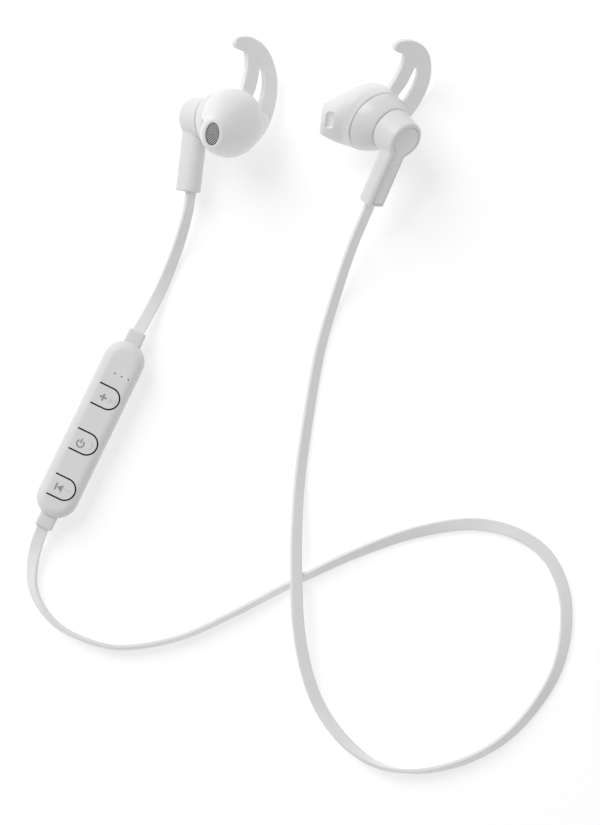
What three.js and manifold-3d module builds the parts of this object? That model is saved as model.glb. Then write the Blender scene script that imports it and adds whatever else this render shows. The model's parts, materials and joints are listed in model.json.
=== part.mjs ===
// Wireless sport earphones: two in-ear buds, a control box and two flat cables, lying on a flat surface.
// Units are millimetres, +Z is up, and the surface is Z = 0. The origin is the bottom centre of the buds and box.
import * as THREE from 'three';
import { mergeVertices } from 'three/addons/utils/BufferGeometryUtils.js';
import Module from 'manifold-3d';

const wasm = await Module();
wasm.setup();

// ---------------------------------------------------------------- driving dimensions
const GAP = 0.3; // clearance between neighbouring pieces
const WALL = 1.0; // thickness of the hard plastic shells
const SEGMENTS = 32; // points round a turned or lofted section

// A bud's own frame: +Y points forward, from the back cover to the ear; -Z runs down the stem.
const BODY = { x: 0.6, z: 0.9, backRadius: 4.7, rimRadius: 5.4, frontRadius: 6.1, rimY: 1.2, frontY: 7.0 };
const STEM = { width: 6.2, depth: 5.8, backCorner: 1.3, frontCorner: 2.8, bottom: -19.3, wall: 1.1 };
const COVER = { radius: 4.1, halfStrip: 1.9, thickness: 0.7, bottom: -18.6 };
const CONE = { backRadius: 6.2, frontRadius: 8.8, frontY: 12.7 };
const NOZZLE = { mouth: [-11.7, 20.7, -4.2], root: [0, 10.5, 0], halfWide: 1.8, halfTall: 3.15, wall: 0.5 };
const TIP = {
  rimRadius: 9.1, wideX: -0.45, wideHalf: 9.9, wideTall: 9.45, wideY: 15.3, lean: 0.09,
  stubLength: 6.5, bulge: 0.7, domeBulge: 0.2,
};
const FIN = { centreY: 15.5, thickness: 1.5 };
const SPEAKER = { radius: 5.0, backY: 9.0, frontY: 11.2, magnetRadius: 3.4, magnetLength: 2.4 };

// The control box's frame: +Y along it to the upper collar, +X across it, +Z up.
const BOX = { halfLength: 26.1, halfWidth: 5.7, height: 8.2, topEdge: 2.8, bottomEdge: 2.2, splitZ: 4.1 };
const COLLAR = { width: 4.9, height: 3.6, tipY: 29.6, innerY: 24.2 };
const BUTTON = { hingeX: -3.2, arcX: 0.8, radius: 3.15, spacing: 13.65, firstY: 9.7, plungerX: 0.8 };
const PORT = { y: -15.6, length: 8.6, lowZ: 2.2, highZ: 5.3, depth: 1.0 };
const BOARD = { halfWidth: 4.1, halfLength: 21.5, bottomZ: 4.5, thickness: 0.6 };
const MEMBRANE = { halfWidth: 3.6, lowY: -21.5, highY: 13.5, bottomZ: 6.5, thickness: 0.2, holeRadius: 1.05 };

const CABLE = { width: 3.4, thickness: 1.2, rest: 0.05 };

// Where each piece of the set lies. forward and stemUp are directions of a bud's +Y and +Z.
const LEFT_BUD = { at: [46.1, 37.2, 19.95], forward: [-0.59, 0.5, -0.64], stemUp: [0.375, 0.867, 0.33] };
const RIGHT_BUD = { at: [-11.72, 44.2, 3.9], forward: [0.72, -0.07, 0.69], stemUp: [0.11, 0.99, -0.02] };
const BOX_PLACE = { at: [-38.6, -39.6, 0], turnDeg: -25.9 };

// Cable routes: x, y, height of the cable above where it would lie flat out, and roll about its own length.
const RIGHT_ROUTE = [
  [-11.55, 23.6, 4.4, -47],
  [-12.35, 19.0, 3.9, -45],
  [-14.2, 12.4, 2.0, -38],
  [-16.8, 5.2, 0.5, -30],
  [-19.7, -1.7, 0.3, -20],
  [-22.7, -7.6, 1.8, -8],
  [-25.5, -12.6, 3.45, 0],
];
const NECK_ROUTE = [
  [-51.8, -66.7, 3.45, 0],
  [-53.4, -71.2, 1.9, 12],
  [-54.5, -77.0, 0.4, 35],
  [-54.3, -82.5, 0, 52],
  [-51.7, -88.4, 0, 66],
  [-47.0, -93.3, 0, 74],
  [-41.0, -96.4, 0, 80],
  [-33.0, -98.7, 0, 80],
  [-25.3, -98.5, 0, 78],
  [-14.0, -96.0, 0, 75],
  [-0.8, -90.1, 0, 71],
  [17.1, -80.8, 0, 63],
  [34.5, -72.7, 0, 46],
  [50.0, -67.4, 0, 26],
  [65.3, -65.3, 0, 8],
  [76.5, -67.7, 0, -8],
  [85.0, -73.5, 0, -8],
  [89.7, -83.0, 0, -12],
  [90.4, -93.5, 0, -20],
  [88.0, -104.5, 0, -32],
  [81.5, -115.5, 0, -44],
  [72.6, -124.4, 0, -54],
  [61.0, -130.3, 0, -66],
  [49.2, -132.5, 0, -80],
  [39.0, -130.6, 0, -108],
  [30.7, -124.6, 0, -144],
  [23.8, -115.4, 0.4, -162],
  [20.0, -105.5, 1.8, -166],
  [17.8, -93.5, 3.3, -162],
  [17.2, -80.8, 3.5, -156],
  [17.2, -68.0, 2.4, -148],
  [18.0, -54.0, 0.5, -142],
  [20.1, -38.0, 0, -138],
  [23.6, -18.0, 0, -136],
  [27.5, -4.4, 0.9, -135],
  [32.2, 9.6, 4.95, -133],
  [36.7, 20.3, 8.9, -132],
];

// ---------------------------------------------------------------- helpers
const vec = (x, y, z) => new THREE.Vector3(x, y, z);

function solid(geometry) {
  const bare = geometry.clone();
  bare.deleteAttribute('normal');
  bare.deleteAttribute('uv');
  const merged = mergeVertices(bare, 1e-4);
  return new wasm.Manifold(new wasm.Mesh({
    numProp: 3,
    vertProperties: new Float32Array(merged.attributes.position.array),
    triVerts: new Uint32Array(merged.index.array),
  }));
}

function geometryOf(body) {
  const mesh = body.getMesh();
  const geometry = new THREE.BufferGeometry();
  geometry.setAttribute('position', new THREE.BufferAttribute(mesh.vertProperties, 3));
  geometry.setIndex(new THREE.BufferAttribute(mesh.triVerts, 1));
  return geometry;
}

// A closed body through a list of rings that all have the same number of points.
function loft(rings) {
  const count = rings[0].length;
  const points = rings.flat();
  points.push(middleOf(rings[0]), middleOf(rings[rings.length - 1]));
  const start = points.length - 2;
  const last = (rings.length - 1) * count;
  const faces = [];
  for (let i = 0; i < count; i += 1) {
    const next = (i + 1) % count;
    for (let r = 0; r < rings.length - 1; r += 1) {
      const low = r * count;
      const high = low + count;
      faces.push(low + i, low + next, high + next, low + i, high + next, high + i);
    }
    faces.push(start, next, i, start + 1, last + i, last + next);
  }
  const geometry = new THREE.BufferGeometry();
  geometry.setAttribute('position', new THREE.Float32BufferAttribute(points.flatMap((p) => p.toArray()), 3));
  geometry.setIndex(faces);
  return outward(geometry);
}

// Turns the faces of a closed geometry over if they point inward.
function outward(geometry) {
  const position = geometry.attributes.position;
  const index = geometry.index.array;
  const corner = (k) => vec().fromBufferAttribute(position, index[k]);
  let volume = 0;
  for (let k = 0; k < index.length; k += 3) {
    volume += corner(k).dot(corner(k + 1).cross(corner(k + 2)));
  }
  return volume < 0 ? flipped(geometry) : geometry;
}

function flipped(geometry) {
  const index = Array.from(geometry.index.array);
  for (let k = 0; k < index.length; k += 3) {
    [index[k], index[k + 1]] = [index[k + 1], index[k]];
  }
  geometry.setIndex(index);
  return geometry;
}

// A level ring round a bud's forward axis.
function roundRing(y, radius, x = 0, z = 0) {
  return Array.from({ length: SEGMENTS }, (_, i) => {
    const angle = (2 * Math.PI * i) / SEGMENTS;
    return vec(x + radius * Math.cos(angle), y, z + radius * Math.sin(angle));
  });
}

// An oval ring square to the nozzle, at a distance along the nozzle from its mouth.
const nozzleMouth = vec(...NOZZLE.mouth);
const nozzleAxis = nozzleMouth.clone().sub(vec(...NOZZLE.root)).normalize();
const nozzleTall = vec(0, 0, 1).addScaledVector(nozzleAxis, -nozzleAxis.z).normalize();
const nozzleWide = nozzleAxis.clone().cross(nozzleTall);

function nozzleRing(along, halfWide, halfTall) {
  const centre = nozzleMouth.clone().addScaledVector(nozzleAxis, along);
  return Array.from({ length: SEGMENTS }, (_, i) => {
    const angle = (2 * Math.PI * i) / SEGMENTS;
    return centre.clone()
      .addScaledVector(nozzleWide, halfWide * Math.cos(angle))
      .addScaledVector(nozzleTall, halfTall * Math.sin(angle));
  });
}

function middleOf(ring) {
  return ring.reduce((sum, point) => sum.add(point), vec(0, 0, 0)).divideScalar(ring.length);
}

// Rings that lead from one ring to another, swelling outward by a bulge on the way.
function blendRings(from, to, steps, bulge) {
  const rings = [];
  for (let s = 0; s <= steps; s += 1) {
    const t = s / steps;
    const ring = from.map((point, i) => point.clone().lerp(to[i], t));
    const middle = middleOf(ring);
    rings.push(ring.map((point) => {
      const outwards = point.clone().sub(middle).normalize();
      return point.addScaledVector(outwards, bulge * 4 * t * (1 - t));
    }));
  }
  return rings;
}

function turned(profile) {
  const points = profile.map(([radius, y]) => new THREE.Vector2(radius, y));
  return new THREE.LatheGeometry(points, SEGMENTS);
}

function block(low, high) {
  const size = high.map((value, i) => value - low[i]);
  const geometry = new THREE.BoxGeometry(...size);
  return geometry.translate(...high.map((value, i) => (value + low[i]) / 2));
}

// A shape drawn in X and Z, given thickness along Y.
function plateAlongY(shape, fromY, toY, curveSegments = 8) {
  const options = { depth: toY - fromY, bevelEnabled: false, curveSegments };
  return new THREE.ExtrudeGeometry(shape, options).rotateX(Math.PI / 2).translate(0, toY, 0);
}

// A shape drawn in X and Y, given thickness along Z.
function plateAlongZ(shape, fromZ, toZ, curveSegments = 8) {
  const options = { depth: toZ - fromZ, bevelEnabled: false, curveSegments };
  return new THREE.ExtrudeGeometry(shape, options).translate(0, 0, fromZ);
}

const pieces = [];

function addPiece(group, name, geometry, colour, roughness = 0.5, metalness = 0) {
  const material = new THREE.MeshStandardMaterial({ color: colour, roughness, metalness });
  const mesh = new THREE.Mesh(geometry, material);
  mesh.name = name;
  group.add(mesh);
  pieces.push(mesh);
}

const COLOURS = {
  shell: 0xf1f1f0, silicone: 0xd9d9d8, cable: 0xdcdcdb, mesh: 0x8b8b8b, steel: 0xb9bbbe,
  dark: 0x26282b, film: 0xcfc8a8, felt: 0x4a4a4d, board: 0x1f5b3a, foil: 0xa7abb0, plunger: 0x2b2b2b,
};

// ---------------------------------------------------------------- bud
function stemSection(inset) {
  const half = STEM.width / 2 - inset;
  const back = inset;
  const front = STEM.depth - inset;
  const backCorner = Math.max(STEM.backCorner - inset, 0.2);
  const frontCorner = STEM.frontCorner - inset;
  const shape = new THREE.Shape();
  shape.moveTo(-half + backCorner, back);
  shape.lineTo(half - backCorner, back);
  shape.absarc(half - backCorner, back + backCorner, backCorner, -Math.PI / 2, 0);
  shape.lineTo(half, front - frontCorner);
  shape.absarc(half - frontCorner, front - frontCorner, frontCorner, 0, Math.PI / 2);
  shape.lineTo(-half + frontCorner, front);
  shape.absarc(-half + frontCorner, front - frontCorner, frontCorner, Math.PI / 2, Math.PI);
  shape.lineTo(-half, back + backCorner);
  shape.absarc(-half + backCorner, back + backCorner, backCorner, Math.PI, 1.5 * Math.PI);
  return shape;
}

// The keyhole outline of the back cover: a disc with a strip down the stem.
function keyhole(grow) {
  const radius = COVER.radius + grow;
  const half = COVER.halfStrip + grow;
  const neck = Math.asin(half / radius);
  const endRadius = 0.8;
  const bottom = COVER.bottom - grow;
  const shape = new THREE.Shape();
  shape.absarc(BODY.x, BODY.z, radius, -Math.PI / 2 + neck, 1.5 * Math.PI - neck);
  shape.lineTo(-half, BODY.z - radius * Math.cos(neck) - 1);
  shape.lineTo(-half, bottom + endRadius);
  shape.absarc(-half + endRadius, bottom + endRadius, endRadius, Math.PI, 1.5 * Math.PI);
  shape.lineTo(half - endRadius, bottom);
  shape.absarc(half - endRadius, bottom + endRadius, endRadius, 1.5 * Math.PI, 2 * Math.PI);
  shape.lineTo(half, BODY.z - radius * Math.cos(neck) - 1);
  return shape;
}

function housing() {
  const { x, z } = BODY;
  const drum = loft([
    roundRing(0, BODY.backRadius, x, z),
    roundRing(0.35, BODY.backRadius + 0.4, x, z),
    roundRing(BODY.rimY, BODY.rimRadius, x, z),
    roundRing(BODY.frontY, BODY.frontRadius, x, z),
  ]);
  const drumHollow = loft([
    roundRing(1.9, BODY.rimRadius - WALL - 0.1, x, z),
    roundRing(BODY.frontY + 1, BODY.frontRadius - WALL, x, z),
  ]);
  const stem = plateAlongZ(stemSection(0), STEM.bottom, BODY.z, 6);
  const stemHollow = plateAlongZ(stemSection(STEM.wall + 0.2), STEM.bottom + 1.6, BODY.z, 4);
  const coverSeat = plateAlongY(keyhole(GAP / 2), -1, COVER.thickness + GAP);
  const coverWindow = plateAlongY(keyhole(-0.9), -1, 3);
  const grommetHole = block([-2.2, 1.6, STEM.bottom - 1], [2.2, 4.2, STEM.bottom + 2]);
  return geometryOf(solid(drum).add(solid(stem))
    .subtract(solid(drumHollow)).subtract(solid(stemHollow))
    .subtract(solid(coverSeat)).subtract(solid(coverWindow)).subtract(solid(grommetHole)));
}

function backCover() {
  return plateAlongY(keyhole(-GAP / 2), 0, COVER.thickness);
}

function cableGrommet() {
  const half = 1.9;
  return block([-half, 1.9, STEM.bottom + 0.1], [half, 3.9, STEM.bottom + 1.3]);
}

// The hard body under the ear tip: a slanted dome with an oval stub.
function domeRings(inset, baseY, stubEnd) {
  const wide = NOZZLE.halfWide + NOZZLE.wall - inset;
  const tall = NOZZLE.halfTall + NOZZLE.wall - inset;
  const base = roundRing(baseY, CONE.frontRadius - 0.9 - inset);
  const stub = nozzleRing(-TIP.stubLength, wide, tall);
  return [...blendRings(base, stub, 4, TIP.domeBulge), nozzleRing(stubEnd, wide, tall)];
}

function frontShell() {
  const { x, z } = BODY;
  const startY = BODY.frontY + GAP;
  const cone = loft([roundRing(startY, CONE.backRadius, x, z), roundRing(CONE.frontY, CONE.frontRadius)]);
  const dome = loft(domeRings(0, CONE.frontY - 0.6, -0.6));
  const coneHollow = loft([
    roundRing(startY - 1, CONE.backRadius - WALL - 0.5, x, z),
    roundRing(CONE.frontY - 0.2, CONE.frontRadius - WALL - 0.9),
  ]);
  const domeHollow = loft(domeRings(WALL * 0.8, CONE.frontY - 0.8, 1));
  return geometryOf(solid(cone).add(solid(dome)).subtract(solid(coneHollow)).subtract(solid(domeHollow)));
}

function nozzleMesh() {
  const inset = 0.55;
  return loft([
    nozzleRing(-1.0, NOZZLE.halfWide - inset, NOZZLE.halfTall - inset),
    nozzleRing(-0.7, NOZZLE.halfWide - inset, NOZZLE.halfTall - inset),
  ]);
}

// The fin's outline: a hook that rises from the cap's side, with a brace back to the cap inside it.
const FIN_HOOK = [
  [3.4, -8.6], [6.8, -7.3], [9.7, -4.8], [12.7, -1.6], [14.6, 2.0], [15.8, 5.9], [16.1, 10.1], [15.5, 13.9],
  [13.9, 17.5], [11.3, 20.7], [7.7, 23.0], [3.6, 23.95], [0.3, 23.75], [-1.9, 22.85], [-2.35, 21.4], [-1.5, 20.4],
  [-0.2, 20.0], [2.65, 19.6],
];
const FIN_BRACE = [[2.65, 19.6], [3.5, 16.4], [3.35, 13.4], [2.85, 10.5], [2.5, 9.0]];
const FIN_SLOT_OUTER = [[8.1, 17.2], [9.9, 15.2], [10.75, 12.3], [10.7, 9.2], [9.9, 5.6]];
const FIN_SLOT_INNER = [[6.1, 7.4], [7.3, 10.2], [7.75, 12.5], [8.0, 14.9], [8.1, 17.2]];

function finOutline() {
  const along = (list) => {
    const curve = new THREE.SplineCurve(list.map(([x, z]) => new THREE.Vector2(x, z)));
    return curve.getPoints((list.length - 1) * 3);
  };
  const shape = new THREE.Shape([...along(FIN_HOOK), ...along(FIN_BRACE).slice(1), new THREE.Vector2(3, 0)]);
  shape.holes.push(new THREE.Path([...along(FIN_SLOT_OUTER), ...along(FIN_SLOT_INNER).slice(0, -1)]));
  return shape;
}

// Rings of the cap's front: full and rounded beside the fin, and nearly straight where it runs out to the mouth.
function capRings(widest, mouth, steps) {
  const power = 2 / 3;
  return Array.from({ length: steps + 1 }, (_, s) => {
    const t = s / steps;
    const inward = 1 - Math.max(Math.cos((Math.PI / 2) * t), 0) ** power;
    const forward = Math.sin((Math.PI / 2) * t) ** power;
    const ring = widest.map((point, i) => {
      const fullness = 0.55 + 0.45 * Math.cos((2 * Math.PI * i) / widest.length);
      const drawn = t + (inward - t) * fullness;
      const advanced = t + (forward - t) * fullness;
      const end = mouth[i];
      return vec(
        point.x + (end.x - point.x) * drawn,
        point.y + (end.y - point.y) * advanced,
        point.z + (end.z - point.z) * drawn,
      );
    });
    const middle = middleOf(ring);
    return ring.map((point, i) => {
      const swell = TIP.bulge * 2 * t * (1 - t) * (1 - Math.cos((2 * Math.PI * i) / widest.length));
      return point.addScaledVector(point.clone().sub(middle).normalize(), swell);
    });
  });
}

function earTip() {
  const mouthWide = NOZZLE.halfWide + NOZZLE.wall + 0.5;
  const mouthTall = NOZZLE.halfTall + NOZZLE.wall + 0.5;
  const rimY = CONE.frontY + GAP;
  const widest = roundRing(TIP.wideY, 1).map((point) => {
    const x = TIP.wideX + point.x * TIP.wideHalf;
    return vec(x, point.y + TIP.lean * x, point.z * TIP.wideTall);
  });
  const body = loft([
    roundRing(rimY, TIP.rimRadius - 0.3),
    roundRing(rimY + 0.6, TIP.rimRadius + 0.2),
    ...capRings(widest, nozzleRing(-0.5, mouthWide + 0.4, mouthTall + 0.4), 7),
    nozzleRing(0, mouthWide, mouthTall),
  ]);
  const fin = plateAlongY(finOutline(), FIN.centreY - FIN.thickness / 2, FIN.centreY + FIN.thickness / 2);
  const hollow = loft(domeRings(-GAP, rimY - 0.8, -0.3));
  const bore = loft([
    nozzleRing(-1, NOZZLE.halfWide, NOZZLE.halfTall),
    nozzleRing(1, NOZZLE.halfWide, NOZZLE.halfTall),
  ]);
  return geometryOf(solid(body).add(solid(fin)).subtract(solid(hollow)).subtract(solid(bore)));
}

function speakerPieces() {
  const { radius, backY, frontY, magnetRadius, magnetLength } = SPEAKER;
  const frame = turned([
    [radius - 1.3, backY], [radius, backY], [radius, frontY], [radius - 0.5, frontY],
    [radius - 0.8, backY + 0.6], [radius - 1.3, backY + 0.6], [radius - 1.3, backY],
  ]);
  const magnetFront = backY - GAP;
  const magnet = turned([
    [0, magnetFront - magnetLength], [magnetRadius, magnetFront - magnetLength],
    [magnetRadius, magnetFront], [0, magnetFront],
  ]);
  const filmY = frontY + GAP;
  const diaphragm = turned([
    [0, filmY + 0.35], [1.6, filmY + 0.2], [2.2, filmY], [radius - 0.3, filmY],
    [radius - 0.3, filmY + 0.2], [2.2, filmY + 0.2], [1.6, filmY + 0.45], [0, filmY + 0.6],
  ]);
  const padFront = magnetFront - magnetLength - GAP;
  const pad = turned([[0, padFront - 0.8], [3.0, padFront - 0.8], [3.0, padFront], [0, padFront]]);
  return { frame, magnet, diaphragm, pad };
}

function addBud(group, side, mirrored) {
  const put = (name, geometry, colour, roughness, metalness) => {
    const shape = geometry.index ? geometry : mergeVertices(geometry);
    addPiece(group, `${side}_${name}`, mirrored ? flipped(shape.scale(-1, 1, 1)) : shape, colour, roughness, metalness);
  };
  const speaker = speakerPieces();
  put('housing', housing(), COLOURS.shell, 0.35);
  put('back_cover', backCover(), COLOURS.shell, 0.35);
  put('front_shell', frontShell(), COLOURS.shell, 0.35);
  put('ear_tip', earTip(), COLOURS.silicone, 0.6);
  put('nozzle_mesh', nozzleMesh(), COLOURS.mesh, 0.5, 0.8);
  put('driver_frame', speaker.frame, COLOURS.dark, 0.5);
  put('driver_magnet', speaker.magnet, COLOURS.steel, 0.3, 1);
  put('driver_diaphragm', speaker.diaphragm, COLOURS.film, 0.3);
  put('damping_pad', speaker.pad, COLOURS.felt, 0.95);
  put('cable_grommet', cableGrommet(), COLOURS.cable, 0.6);
}

// ---------------------------------------------------------------- control box
// A level outline with full round ends, inset from the box's greatest outline.
function boxRing(z, inset) {
  const half = BOX.halfWidth - inset;
  const straight = BOX.halfLength - BOX.halfWidth;
  const ring = [];
  for (const end of [1, -1]) {
    for (let i = 0; i <= SEGMENTS / 2; i += 1) {
      const angle = (end > 0 ? 0 : Math.PI) + (2 * Math.PI * i) / SEGMENTS;
      ring.push(vec(half * Math.cos(angle), end * straight + half * Math.sin(angle), z));
    }
  }
  return ring;
}

// The box's outer body between two heights, with its rounded edges, shrunk by a wall.
function boxBody(wall, fromZ, toZ) {
  const inset = (z) => {
    const top = Math.max(0, z - (BOX.height - BOX.topEdge));
    const bottom = Math.max(0, BOX.bottomEdge - z);
    const topInset = BOX.topEdge - Math.sqrt(BOX.topEdge ** 2 - Math.min(top, BOX.topEdge) ** 2);
    const bottomInset = BOX.bottomEdge - Math.sqrt(BOX.bottomEdge ** 2 - Math.min(bottom, BOX.bottomEdge) ** 2);
    return topInset + bottomInset;
  };
  const levels = [0, 0.3, 1.1, BOX.bottomEdge, BOX.height - BOX.topEdge, 6.7, 7.5, 7.95, BOX.height];
  const kept = [fromZ, ...levels.filter((z) => z > fromZ + 0.05 && z < toZ - 0.05), toZ];
  return loft(kept.map((z) => {
    const outer = THREE.MathUtils.clamp(z, wall, BOX.height - wall);
    const scaled = wall > 0 ? ((outer - wall) / (BOX.height - 2 * wall)) * BOX.height : z;
    return boxRing(z, inset(scaled) * (wall > 0 ? 0.75 : 1) + wall);
  }));
}

function buttonOutline(grow) {
  const radius = BUTTON.radius - grow;
  const hinge = BUTTON.hingeX + grow;
  const shape = new THREE.Shape();
  shape.moveTo(hinge, -radius);
  shape.lineTo(BUTTON.arcX, -radius);
  shape.absarc(BUTTON.arcX, 0, radius, -Math.PI / 2, Math.PI / 2);
  shape.lineTo(hinge, radius);
  shape.closePath();
  return shape;
}

const buttonY = [0, 1, 2].map((i) => BUTTON.firstY - i * BUTTON.spacing);
const buttonNames = ['volume_up', 'power', 'volume_down'];

function portBlock(grow) {
  const half = PORT.length / 2 + grow;
  return block(
    [BOX.halfWidth - PORT.depth - grow, PORT.y - half, PORT.lowZ - grow],
    [BOX.halfWidth + 1, PORT.y + half, PORT.highZ + grow],
  );
}

function collarBlock(end, grow) {
  const half = COLLAR.width / 2 + grow;
  const mid = BOX.height / 2;
  const tall = COLLAR.height / 2 + grow;
  const near = COLLAR.innerY - grow;
  const far = COLLAR.tipY + grow;
  const ys = end > 0 ? [near, far] : [-far, -near];
  return block([-half, ys[0], mid - tall], [half, ys[1], mid + tall]);
}

function frontCover() {
  let cover = solid(boxBody(0, BOX.splitZ + GAP / 2, BOX.height));
  cover = cover.subtract(solid(boxBody(WALL, BOX.splitZ - 1, BOX.height - WALL)));
  for (const y of buttonY) {
    cover = cover.subtract(solid(plateAlongZ(buttonOutline(0), 5, 10).translate(0, y, 0)));
  }
  for (const x of [-0.6, 1.4, 3.4]) {
    const hole = new THREE.CylinderGeometry(0.3, 0.3, 3, 8).rotateX(Math.PI / 2);
    cover = cover.subtract(solid(hole.translate(x, 16.6, BOX.height - 0.5)));
  }
  cover = cover.subtract(solid(portBlock(GAP)));
  cover = cover.subtract(solid(collarBlock(1, GAP))).subtract(solid(collarBlock(-1, GAP)));
  return geometryOf(cover);
}

function rearCover() {
  let cover = solid(boxBody(0, 0, BOX.splitZ - GAP / 2));
  cover = cover.subtract(solid(boxBody(WALL, WALL, BOX.splitZ + 1)));
  cover = cover.subtract(solid(portBlock(GAP)));
  cover = cover.subtract(solid(collarBlock(1, GAP))).subtract(solid(collarBlock(-1, GAP)));
  return geometryOf(cover);
}

function button(y) {
  const tongue = solid(plateAlongZ(buttonOutline(GAP), BOX.height - WALL, BOX.height + 1).translate(0, y, 0));
  const skin = solid(boxBody(0, 0, BOX.height));
  const post = new THREE.CylinderGeometry(0.7, 0.7, 0.8, 12).rotateX(Math.PI / 2);
  post.translate(BUTTON.plungerX, y, BOX.height - WALL - 0.1);
  return geometryOf(tongue.intersect(skin).add(solid(post)));
}

function switchBody(y) {
  const top = BOARD.bottomZ + BOARD.thickness;
  const body = solid(block([BUTTON.plungerX - 1.6, y - 1.5, top + 0.3], [BUTTON.plungerX + 1.6, y + 1.5, top + 0.9]));
  const hole = new THREE.CylinderGeometry(0.8, 0.8, 3, 12).rotateX(Math.PI / 2);
  return geometryOf(body.subtract(solid(hole.translate(BUTTON.plungerX, y, top))));
}

function plunger(y) {
  const low = BOARD.bottomZ + BOARD.thickness + 0.45;
  const rod = new THREE.CylinderGeometry(0.5, 0.5, 0.9, 12).rotateX(Math.PI / 2);
  return rod.translate(BUTTON.plungerX, y, low + 0.45);
}

// A black rubber sheet that closes the slots round the keys from inside; the keys' posts pass through it.
function keyMembrane() {
  const { halfWidth, lowY, highY, bottomZ, thickness, holeRadius } = MEMBRANE;
  let sheet = solid(block([-halfWidth, lowY, bottomZ], [halfWidth, highY, bottomZ + thickness]));
  for (const y of buttonY) {
    const hole = new THREE.CylinderGeometry(holeRadius, holeRadius, 2, 16).rotateX(Math.PI / 2);
    sheet = sheet.subtract(solid(hole.translate(BUTTON.plungerX, y, bottomZ)));
  }
  return geometryOf(sheet);
}

function portCover() {
  const cover = solid(portBlock(0)).intersect(solid(boxBody(0, 0, BOX.height)));
  const notch = new THREE.CylinderGeometry(0.45, 0.45, 6, 12).rotateX(Math.PI / 2);
  notch.translate(BOX.halfWidth + 0.1, PORT.y + PORT.length / 2, BOX.height / 2);
  return geometryOf(cover.subtract(solid(notch)));
}

function addBox(group) {
  addPiece(group, 'front_cover', frontCover(), COLOURS.shell, 0.45);
  addPiece(group, 'rear_cover', rearCover(), COLOURS.shell, 0.45);
  buttonY.forEach((y, i) => {
    addPiece(group, `${buttonNames[i]}_button`, button(y), COLOURS.shell, 0.45);
    addPiece(group, `${buttonNames[i]}_switch`, switchBody(y), COLOURS.foil, 0.4, 0.8);
    addPiece(group, `${buttonNames[i]}_plunger`, plunger(y), COLOURS.plunger, 0.5);
  });
  addPiece(group, 'key_membrane', keyMembrane(), COLOURS.plunger, 0.7);
  const { halfWidth, halfLength, bottomZ, thickness } = BOARD;
  const top = bottomZ + thickness;
  addPiece(group, 'circuit_board', block([-halfWidth, -halfLength, bottomZ], [halfWidth, halfLength, top]),
    COLOURS.board, 0.6);
  addPiece(group, 'bluetooth_module', block([-2.9, 0, top + GAP], [2.9, 6.2, top + 1.2]), COLOURS.foil, 0.35, 0.9);
  addPiece(group, 'microphone', block([0, 15.4, top + GAP], [2.8, 17.6, top + 1.2]), COLOURS.foil, 0.35, 0.9);
  addPiece(group, 'battery', block([-3.7, -8.5, WALL + 0.7], [3.7, 19, bottomZ - GAP]), COLOURS.foil, 0.4, 0.7);
  addPiece(group, 'usb_connector', block([-0.4, PORT.y - 3.7, 2.0], [4.3, PORT.y + 3.7, bottomZ - GAP]),
    COLOURS.steel, 0.3, 1);
  addPiece(group, 'usb_port_cover', portCover(), COLOURS.shell, 0.5);
  addPiece(group, 'upper_collar', collarBlock(1, 0), COLOURS.silicone, 0.55);
  addPiece(group, 'lower_collar', collarBlock(-1, 0), COLOURS.silicone, 0.55);
}

// ---------------------------------------------------------------- cables
// A cable's centre line. Its height follows the roll of the flat section, and its frames carry that roll.
class CableCurve extends THREE.CatmullRomCurve3 {
  constructor(route) {
    super(route.map(([x, y, lift]) => vec(x, y, lift)));
    this.rolls = route.map((point) => THREE.MathUtils.degToRad(point[3]));
  }

  rollAt(t) {
    const place = t * (this.rolls.length - 1);
    const low = Math.min(Math.floor(place), this.rolls.length - 2);
    return THREE.MathUtils.lerp(this.rolls[low], this.rolls[low + 1], place - low);
  }

  getPoint(t, target = vec(0, 0, 0)) {
    const point = super.getPoint(t, target);
    const edge = (CABLE.width - CABLE.thickness) / 2;
    point.z = Math.max(point.z, 0) + CABLE.thickness / 2 + edge * Math.abs(Math.sin(this.rollAt(t))) + CABLE.rest;
    return point;
  }

  computeFrenetFrames(steps) {
    const frames = { tangents: [], normals: [], binormals: [] };
    for (let i = 0; i <= steps; i += 1) {
      const tangent = this.getTangentAt(i / steps);
      const side = vec(-tangent.y, tangent.x, 0).normalize();
      const lift = tangent.clone().cross(side);
      const roll = this.rollAt(this.getUtoTmapping(i / steps));
      const across = side.multiplyScalar(Math.cos(roll)).addScaledVector(lift, Math.sin(roll));
      frames.tangents.push(tangent);
      frames.normals.push(across);
      frames.binormals.push(tangent.clone().cross(across));
    }
    return frames;
  }
}

function cable(route, steps) {
  const halfWide = CABLE.width / 2;
  const halfThick = CABLE.thickness / 2;
  const section = new THREE.Shape();
  section.moveTo(halfWide, -halfThick * 0.4);
  section.lineTo(halfWide, halfThick * 0.4);
  section.lineTo(halfWide * 0.8, halfThick);
  section.lineTo(-halfWide * 0.8, halfThick);
  section.lineTo(-halfWide, halfThick * 0.4);
  section.lineTo(-halfWide, -halfThick * 0.4);
  section.lineTo(-halfWide * 0.8, -halfThick);
  section.lineTo(halfWide * 0.8, -halfThick);
  const options = { steps, bevelEnabled: false, extrudePath: new CableCurve(route) };
  return new THREE.ExtrudeGeometry(section, options);
}

// ---------------------------------------------------------------- assembly
function budGroup(place) {
  const forward = vec(...place.forward).normalize();
  const up = vec(...place.stemUp).addScaledVector(forward, -forward.dot(vec(...place.stemUp))).normalize();
  const group = new THREE.Group();
  group.matrix.makeBasis(forward.clone().cross(up), forward, up).setPosition(...place.at);
  group.matrix.decompose(group.position, group.quaternion, group.scale);
  return group;
}

const earphones = new THREE.Group();

const leftBud = budGroup(LEFT_BUD);
addBud(leftBud, 'left', false);
earphones.add(leftBud);

const rightBud = budGroup(RIGHT_BUD);
addBud(rightBud, 'right', true);
earphones.add(rightBud);

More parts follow.
